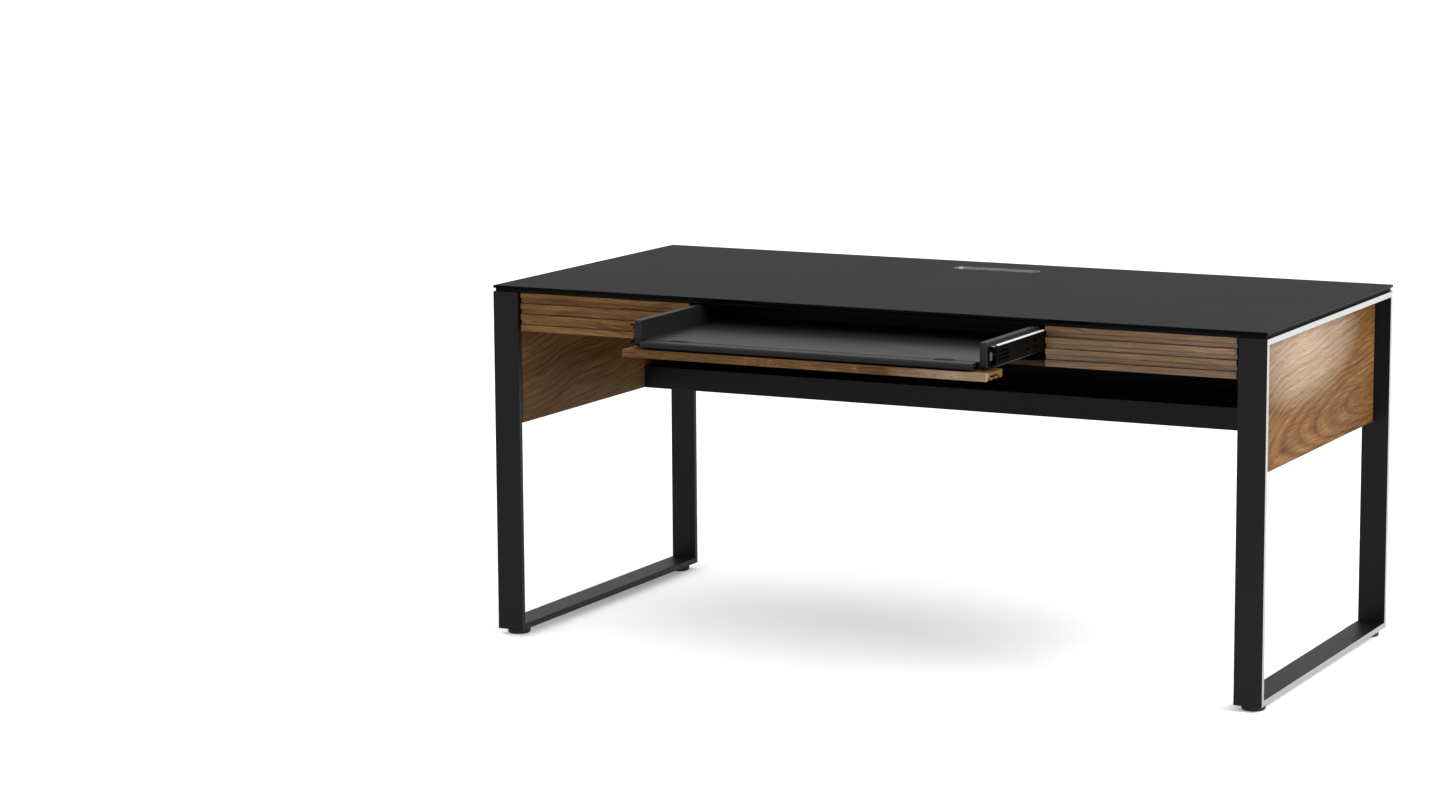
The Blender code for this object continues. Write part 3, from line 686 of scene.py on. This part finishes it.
def make_slide_member(node, body, web_x, lip_x, curl, finishes):
    """Rolled sheet channel with a black slotted web, and bright zinc on its up-facing top as a
    painted highlight.
    """
    low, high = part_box(node)
    middle = (low.z + high.z) / 2
    half = (high.z - low.z) / 2
    toward = 1.0 if lip_x > web_x else -1.0
    inner_x = web_x + toward * SHEET
    seam = half - FLANGE_REACH
    shapes = []
    for end in (-1.0, 1.0):
        edge = middle + end * half
        inside = edge - end * SHEET
        tip = edge - end * curl
        corners = [
            (web_x, middle + end * seam, 0.0),
            (web_x, edge, WEB_CORNER_R),
            (lip_x, edge, LIP_CORNER_R),
            (lip_x, tip, 0.0),
            (lip_x - toward * SHEET, tip, 0.0),
            (lip_x - toward * SHEET, inside, 0.0),
            (inner_x, inside, WEB_CORNER_R - SHEET),
            (inner_x, middle + end * seam, 0.0),
        ]
        if curl <= SHEET:
            corners[3:6] = [(lip_x, inside, 0.0)]
        shapes.append(swept(rounded(corners, 4), 1, low.y, high.y))
    web = [(y, middle - seam) for y in (low.y, high.y)]
    web += [(y, middle + seam) for y in (high.y, low.y)]
    many = node.startswith("tray") and node.endswith("middle")
    holes = slide_slots(low.y, high.y - low.y, middle, many)
    shapes.append(plate(web, holes, 0, web_x, toward * SHEET))
    bm = joined(shapes)
    weld(bm, (middle - seam, middle + seam))
    highlight_y = low.y + HIGHLIGHT_START
    whole = bm.verts[:] + bm.edges[:] + bm.faces[:]
    bmesh.ops.bisect_plane(bm, geom=whole, plane_co=(0, highlight_y, 0), plane_no=(0, 1, 0))
    bm = settled(bm)
    member = piece(node + "_rolled", bm, finishes["web"], body, (node,))
    member.data.materials.append(finishes["painted_highlight"])
    # painted highlight: faces along the top that look up, past the front end, get the bright zinc
    highlight_z = middle + half - 1.5 * SHEET
    for face in member.data.polygons:
        if face.normal.z > HIGHLIGHT_FACING and face.center.z > highlight_z and face.center.y > highlight_y:
            face.material_index = 1


def make_slides(finishes):
    """Every slide's three members, with a bumper at the front of each inner member."""
    runs = []
    for side_name, side in SIDES:
        runs.append(("tray_" + side_name, "tray", -side))
        runs.append((side_name + "_drawer_inner", side_name + "_drawer", side))
        runs.append((side_name + "_drawer_outer", side_name + "_drawer", -side))
    for prefix, body, toward in runs:
        bodies = {"outer": "root", "middle": body + "_slide_middles", "inner": body}
        for member, curl in LIP_CURLS:
            node = prefix + "_slide_" + member
            low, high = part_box(node)
            ends = (low.x, high.x) if toward > 0 else (high.x, low.x)
            web_x, lip_x = ends if member != "inner" else ends[::-1]
            make_slide_member(node, bodies[member], web_x, lip_x, curl, finishes)
        low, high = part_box(prefix + "_slide_inner")
        middle = (low.z + high.z) / 2
        near = (low.x if toward < 0 else high.x) - toward * BUMPER_IN
        far = near - toward * BUMPER_DEEP
        bottom, top = middle - BUMPER_HALF, middle + BUMPER_HALF
        corners = [(near, bottom, 0.0006), (far, bottom, 0.0010)]
        corners += [(far, top, 0.0010), (near, top, 0.0006)]
        first, last = (low.y + reach for reach in BUMPER_REACH)
        bm = swept(rounded(corners), 1, first, last, 0.0006)
        piece(prefix + "_slide_bumper", bm, finishes["bumper"], body)


def leaf_pocket(low, high, away):
    """A hinge leaf's pocket in (x, y): square at the hinge line, round at its far corners."""
    near, far = (low.y, high.y) if away > 0 else (high.y, low.y)
    far += away * LEAF_CLEARANCE
    left, right = low.x - LEAF_CLEARANCE, high.x + LEAF_CLEARANCE
    radius = LEAF_CORNER_R + LEAF_CLEARANCE
    start = near - away * POCKET_PAST
    corners = [(right, start, 0.0), (right, far, radius), (left, far, radius), (left, start, 0.0)]
    return rounded(corners, 8)


def cut_pockets(obj, leaves, away, low_z):
    """Sink the hinge pockets into a piece."""
    for node in leaves:
        low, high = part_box(node)
        bm = swept(leaf_pocket(low, high, away), 2, low_z, high.z + POCKET_ABOVE)
        bmesh.ops.recalc_face_normals(bm, faces=bm.faces)
        mesh = bpy.data.meshes.new("pocket")
        bm.to_mesh(mesh)
        bm.free()
        cutter = bpy.data.objects.new("pocket", mesh)
        bpy.context.scene.collection.objects.link(cutter)
        boolean = obj.modifiers.new("pocket", "BOOLEAN")
        boolean.solver = "EXACT"
        boolean.object = cutter
        with bpy.context.temp_override(object=obj, active_object=obj):
            bpy.ops.object.modifier_apply(modifier=boolean.name)
        bpy.data.objects.remove(cutter)


def make_tray_boards(tray, pad):
    """Tray floor and wrist rest, with round edges and leaf-shaped hinge pockets."""
    tray_leaves = [side_name + "_hinge_tray_leaf" for side_name, _ in SIDES]
    flap_leaves = [side_name + "_hinge_flap_leaf" for side_name, _ in SIDES]
    pocket_low = min(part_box(node)[0].z for node in tray_leaves) - LEAF_CLEARANCE
    low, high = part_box("tray_floor")
    corners = [(low.y, low.z, 0.0008), (low.y, high.z, 0.0012)]
    corners += [(high.y, high.z, 0.0), (high.y, low.z, 0.0)]
    bm = swept(rounded(corners), 0, low.x, high.x, 0.0004)
    stood_for = ("tray_floor",)
    floor = piece("tray_floor_board", bm, tray, "tray", stood_for, smooth=40.0)
    cut_pockets(floor, tray_leaves, 1.0, pocket_low)
    low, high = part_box("wrist_rest")
    corners = [(low.y, low.z, 0.0030), (low.y, high.z, 0.0062)]
    corners += [(high.y, high.z, 0.0012), (high.y, low.z, 0.0008)]
    bm = swept(rounded(corners, 8), 0, low.x, high.x, 0.0010)
    stood_for = ("wrist_rest",)
    rest = piece("wrist_rest_pad", bm, pad, "flap", stood_for, smooth=40.0)
    cut_pockets(rest, flap_leaves, -1.0, pocket_low)


def screw_head(radius, height):
    """A pan head with a cross recess, standing on Z = 0."""
    arm, half = 0.55 * radius, 0.14 * radius
    corner = [(half, arm), (half, half), (arm, half)]
    cross = corner + [(x, -y) for x, y in reversed(corner)]
    cross += [(-x, -y) for x, y in corner] + [(-x, y) for x, y in reversed(corner)]
    floor_z = 0.45 * height
    dome = [(radius, floor_z), (0.94 * radius, 0.80 * height), (0.82 * radius, height)]
    bm = spun([(0.0, 0.0), (radius, 0.0), *dome], 24)
    rims = [edge for edge in bm.edges if edge.is_boundary]
    mouth = [bm.verts.new((x, y, height)) for x, y in cross]
    floor = [bm.verts.new((x, y, floor_z)) for x, y in cross]
    rims += [bm.edges.new(pair) for pair in zip(mouth, mouth[1:] + mouth[:1])]
    bmesh.ops.triangle_fill(bm, use_beauty=True, use_dissolve=False, edges=rims)
    for number in range(len(cross)):
        bm.faces.new((mouth[number - 1], mouth[number], floor[number], floor[number - 1]))
    bm.faces.new(floor)
    return bm


def make_screws(name, body, metal, places, normal, size=SMALL_SCREW):
    """Screw heads standing on points of one body."""
    shapes = [turned(screw_head(*size), normal, place) for place in places]
    piece(name, joined(shapes), metal, body, smooth=30.0)


def make_feet(rubber, zinc):
    """Ribbed levelling pads on threaded stems."""
    for end_name in ENDS:
        for side_name, _ in SIDES:
            body = end_name + "_" + side_name + "_foot"
            low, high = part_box(body)
            radius = (high.x - low.x) / 2
            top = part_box(side_name + "_leg_ring")[0].z - FOOT_GAP
            place = ((low.x + high.x) / 2, (low.y + high.y) / 2, 0.0)
            pad = [(0.0, 0.0), (radius - 0.0030, 0.0), (radius - 0.0012, 0.0006)]
            pad += [(radius, 0.0022), (radius, top - 0.0040), (radius - 0.0010, top - 0.0024)]
            pad += [(radius - 0.0034, top - 0.0010), (0.0105, top - 0.0006), (0.0085, top)]
            bm = turned(spun([*pad, (0.0, top)], 72, FOOT_RIBS), (0, 0, 1), place)
            piece(body + "_pad", bm, rubber, body, (body,), smooth=50.0)
            stem = [(0.0, top)]
            height = top
            while height + THREAD_PITCH < high.z:
                stem += [(STEM_ROOT_R, height), (STEM_R, height + THREAD_PITCH / 2)]
                height += THREAD_PITCH
            stem += [(STEM_ROOT_R, height), (0.0, height)]
            bm = turned(spun(stem, 24), (0, 0, 1), place)
            piece(body + "_stem", bm, zinc, body, smooth=20.0)


def make_hinge_screws(metal):
    """Two sunk screws in each hinge leaf."""
    plate_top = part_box("tray_floor")[1].z - LEAF_SINK
    for side_name, _ in SIDES:
        for leaf, body, away in (("tray", "tray", 1.0), ("flap", "flap", -1.0)):
            low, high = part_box(side_name + "_hinge_" + leaf + "_leaf")
            middle = (low.x + high.x) / 2
            far = high.y if away > 0 else low.y
            y = far - away * LEAF_SCREW_IN
            places = [(middle + end * LEAF_SCREW_X, y, plate_top) for end in (-1.0, 1.0)]
            name = side_name + "_hinge_" + leaf + "_screws"
            make_screws(name, body, metal, places, (0, 0, 1), LEAF_SCREW)


def make_drawer_fittings(metal, cap):
    """Cam caps on each drawer's side walls, and screws in its back."""
    for side_name, side in SIDES:
        body = side_name + "_drawer"
        for wall, inward in (("inner", side), ("outer", -side)):
            low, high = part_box(body + "_" + wall + "_wall")
            face = high.x if inward > 0 else low.x
            caps = []
            for height in (low.z + CAM_CAP_LOW, high.z - CAM_CAP_HIGH):
                for y in (low.y + CAM_CAP_IN, high.y - CAM_CAP_IN):
                    caps.append(turned(spun(CAM_CAP, 24), (inward, 0, 0), (face, y, height)))
            piece(body + "_" + wall + "_wall_caps", joined(caps), cap, body)
        low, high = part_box(body + "_back")
        across = [low.x + share * (high.x - low.x) for share in BACK_SHARES]
        places = [(x, high.y, low.z + BACK_SCREW_UP) for x in across]
        make_screws(body + "_back_screws", body, metal, places, (0, 1, 0))


def make_case_fittings(metal, cap):
    """Screws under the case and the compartment, panel catch caps, and screws in the cleats."""
    down = (0, 0, -1)
    low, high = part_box("case_bottom")
    width = high.x - low.x
    below = []
    for side_name, _ in SIDES:
        first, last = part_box(side_name + "_partition")
        middle = (first.x + last.x) / 2
        rows = [first.y + share * (last.y - first.y) for share in CASE_SHARES]
        below += [(middle, y, low.z) for y in rows]
    below += [(low.x + share * width, high.y - CASE_SCREW_IN, low.z) for share in CASE_SHARES]
    make_screws("case_bottom_screws", "root", metal, below, down, BIG_SCREW)
    low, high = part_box("compartment_floor")
    y = low.y + COMPARTMENT_SCREW_IN
    under = [(low.x + share * width, y, low.z) for share in COMPARTMENT_SHARES]
    name = "compartment_floor_screws"
    make_screws(name, "root", metal, under, down, BIG_SCREW)
    low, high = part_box("rear_access_panel")
    caps = []
    for x in (low.x + CATCH_IN, high.x - CATCH_IN):
        for z in (low.z + CATCH_IN, high.z - CATCH_IN):
            caps.append(turned(spun(CATCH_CAP, 32), (0, 1, 0), (x, high.y, z)))
    body = "rear_access_panel"
    piece("access_panel_catch_caps", joined(caps), cap, body)
    for side_name, side in SIDES:
        low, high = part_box(side_name + "_panel_cleat")
        face = low.x if side > 0 else high.x
        middle = (low.y + high.y) / 2
        heights = [low.z + share * (high.z - low.z) for share in CLEAT_SHARES]
        places = [(face, middle, z) for z in heights]
        name = side_name + "_cleat_screws"
        make_screws(name, "root", metal, places, (-side, 0, 0))


# ---------------------------------------------------------------- studio


def make_camera():
    """The camera, at the photograph's viewing angle."""
    data = bpy.data.cameras.new("camera")
    data.lens = CAMERA_LENS
    data.shift_x = CAMERA_SHIFT
    camera = bpy.data.objects.new("camera", data)
    camera.location = CAMERA_PLACE
    camera.rotation_euler = (math.radians(90 - CAMERA_PITCH), 0.0, math.radians(CAMERA_TURN))
    bpy.context.scene.collection.objects.link(camera)
    bpy.context.scene.camera = camera


def make_softbox(name, place, size, power, aim):
    """A large soft area light, turned to face a point."""
    data = bpy.data.lights.new(name, "AREA")
    data.shape = "RECTANGLE"
    data.size, data.size_y = size
    data.energy = power
    light = bpy.data.objects.new(name, data)
    light.location = place
    light.rotation_euler = (Vector(aim) - Vector(place)).to_track_quat("-Z", "Y").to_euler()
    bpy.context.scene.collection.objects.link(light)


def make_studio():
    """Pale floor, even surroundings and one softbox."""
    bm = bmesh.new()
    bmesh.ops.create_grid(bm, x_segments=1, y_segments=1, size=FLOOR_REACH)
    mesh = bpy.data.meshes.new("floor")
    bm.to_mesh(mesh)
    bm.free()
    floor = bpy.data.objects.new("floor", mesh)
    bpy.context.scene.collection.objects.link(floor)
    mesh.materials.append(plain_floor("pale_floor"))
    make_sky()
    make_softbox("key", KEY_PLACE, KEY_SIZE, KEY_POWER, KEY_AIM)
    bpy.context.scene.view_settings.view_transform = "Standard"


def make_sky():
    """Even white overhead, falling off towards the horizon."""
    world = bpy.data.worlds.new("studio")
    world.use_nodes = True
    nodes, links = world.node_tree.nodes, world.node_tree.links
    direction = nodes.new("ShaderNodeTexCoord")
    parts = nodes.new("ShaderNodeSeparateXYZ")
    rise = nodes.new("ShaderNodeMapRange")
    rise.interpolation_type = "SMOOTHSTEP"
    rise.inputs["From Min"].default_value = SKY_DIM_UP_TO
    rise.inputs["From Max"].default_value = SKY_FULL_FROM
    rise.inputs["To Min"].default_value = SKY_LOW
    rise.inputs["To Max"].default_value = SKY_HIGH
    links.new(direction.outputs["Generated"], parts.inputs["Vector"])
    links.new(parts.outputs["Z"], rise.inputs["Value"])
    links.new(rise.outputs["Result"], nodes["Background"].inputs["Strength"])
    nodes["Background"].inputs["Color"].default_value = (1.0, 1.0, 1.0, 1.0)
    bpy.context.scene.world = world


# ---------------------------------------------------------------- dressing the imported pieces


def dress(names, material):
    """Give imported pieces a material."""
    for name in names:
        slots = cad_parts[name].data.materials
        slots.clear()
        slots.append(material)


def make_wood():
    """Dress the walnut boards, and give back each louvred front's material."""
    right_panel = walnut(
        "right_panel_walnut",
        along=1,
        across=2,
        heart=(0.80, 0.556, 0.80),
        lean=0.12,
        slope=0.093,
        seed=2.0,
        rings=85.0,
        contrast=1.35,
        tint=(0.84, 0.78, 0.68),
        sheen=0.02,
        # pale: a painted highlight, a paler patch over the upper part of the panel
        pale=(0.08, 0.668, 0.33, 0.128, 0.68),
    )
    left_panel = walnut(
        "left_panel_walnut",
        along=1,
        across=2,
        heart=(0.90, 0.95, -0.75),
        lean=0.04,
        slope=0.10,
        seed=5.3,
        tint=(0.78, 0.78, 0.78),
        sheen=0.03,
    )
    case_bottom = walnut(
        "case_bottom_walnut",
        along=0,
        across=1,
        heart=(1.5, -0.3, 0.6),
        lean=0.05,
        seed=11.0,
        tint=(0.35, 0.35, 0.35),
    )
    dress(["right_side_panel"], right_panel)
    dress(["left_side_panel"], left_panel)
    dress(["case_bottom"], case_bottom)
    return {
        "left_drawer": walnut(
            "left_front_walnut",
            along=0,
            across=2,
            heart=(0.9, 0.68, -0.16),
            lean=0.03,
            seed=7.0,
            rings=150.0,
            contrast=1.3,
        ),
        "right_drawer": walnut(
            "right_front_walnut",
            along=0,
            across=2,
            heart=(-0.9, 0.60, -0.20),
            lean=0.03,
            seed=9.0,
            rings=110.0,
            contrast=0.6,
            # tint: greyer, bluer heartwood than the left front's, a painted reflection of the
            # sheen across this front
            tint=(0.85, 0.89, 0.94),
            sheen=0.5,
        ),
        "flap": walnut(
            "flap_walnut",
            along=0,
            across=1,
            heart=(1.2, -0.6, 0.62),
            lean=0.03,
            seed=15.0,
            rings=110.0,
            tint=(0.79, 0.79, 0.79),
            pale=(0.39, -0.56, 0.26, 0.042, 0.95),
        ),
    }


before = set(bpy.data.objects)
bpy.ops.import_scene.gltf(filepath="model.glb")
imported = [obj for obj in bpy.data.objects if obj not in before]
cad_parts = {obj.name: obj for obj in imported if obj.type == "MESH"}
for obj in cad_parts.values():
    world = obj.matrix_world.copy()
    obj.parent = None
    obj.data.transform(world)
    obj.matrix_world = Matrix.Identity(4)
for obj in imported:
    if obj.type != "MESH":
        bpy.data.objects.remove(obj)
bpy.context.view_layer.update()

make_camera()
make_studio()

low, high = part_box("left_leg_ring")
half_width = -low.x
dress(["left_leg_ring", "right_leg_ring"], leg_steel("leg_steel", half_width - NICKEL_SKIN))
dress(["glass_top"], etched_glass("etched_glass"))
dress(["top_board"], laminate("black_board", (0.0030, 0.0030, 0.0032), 0.6, 0.05))
dress(["cable_slot_liner"], satin_metal("liner_aluminium", (0.45, 0.45, 0.45), 0.4))
wood = make_wood()
black = laminate("black_laminate", (0.0034, 0.0034, 0.0036), 0.5, 0.15)
dress(["case_back", "compartment_rail", "compartment_floor", "rear_access_panel"], black)
dress(["left_partition", "right_partition", "left_panel_cleat", "right_panel_cleat"], black)
for part in ("inner_wall", "outer_wall", "back", "bottom"):
    dress([side_name + "_drawer_" + part for side_name, _ in SIDES], black)
tray = laminate("tray_grey", (0.0115, 0.0115, 0.0120), 0.42, 0.24)
dress(["tray_floor"], tray)
pad = laminate("tray_rim_grey", (0.0080, 0.0080, 0.0084), 0.44, 0.18)
dress(["wrist_rest", "tray_left_wall", "tray_right_wall", "tray_back_wall"], pad)
zinc = satin_metal("slide_zinc", (0.60, 0.60, 0.61), 0.45, metallic=0.35)
steel = satin_metal("screw_steel", (0.50, 0.50, 0.51), 0.35, along=2)
slide = {
    # the bright zinc that paints a highlight on the slides' up-facing tops
    "painted_highlight": zinc,
    "web": coated_metal("slide_black", (0.0020, 0.0018, 0.0016), 0.5, 0.02),
    "bumper": coated_metal("bumper_grey", (0.05, 0.05, 0.05), 0.5),
}
hinge = coated_metal("hinge_black", (0.0012, 0.0012, 0.0012), 0.5, 0.05)
dress([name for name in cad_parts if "_hinge_" in name], hinge)
dress(["flap_carrier_rail"], hinge)
cap = coated_metal("cap_black", (0.010, 0.010, 0.010), 0.45)
rubber = laminate("foot_black", (0.012, 0.012, 0.012), 0.6)

make_fronts(wood)
make_slides(slide)
make_tray_boards(tray, pad)
make_feet(rubber, zinc)
make_hinge_screws(hinge)
make_drawer_fittings(steel, cap)
make_case_fittings(steel, cap)
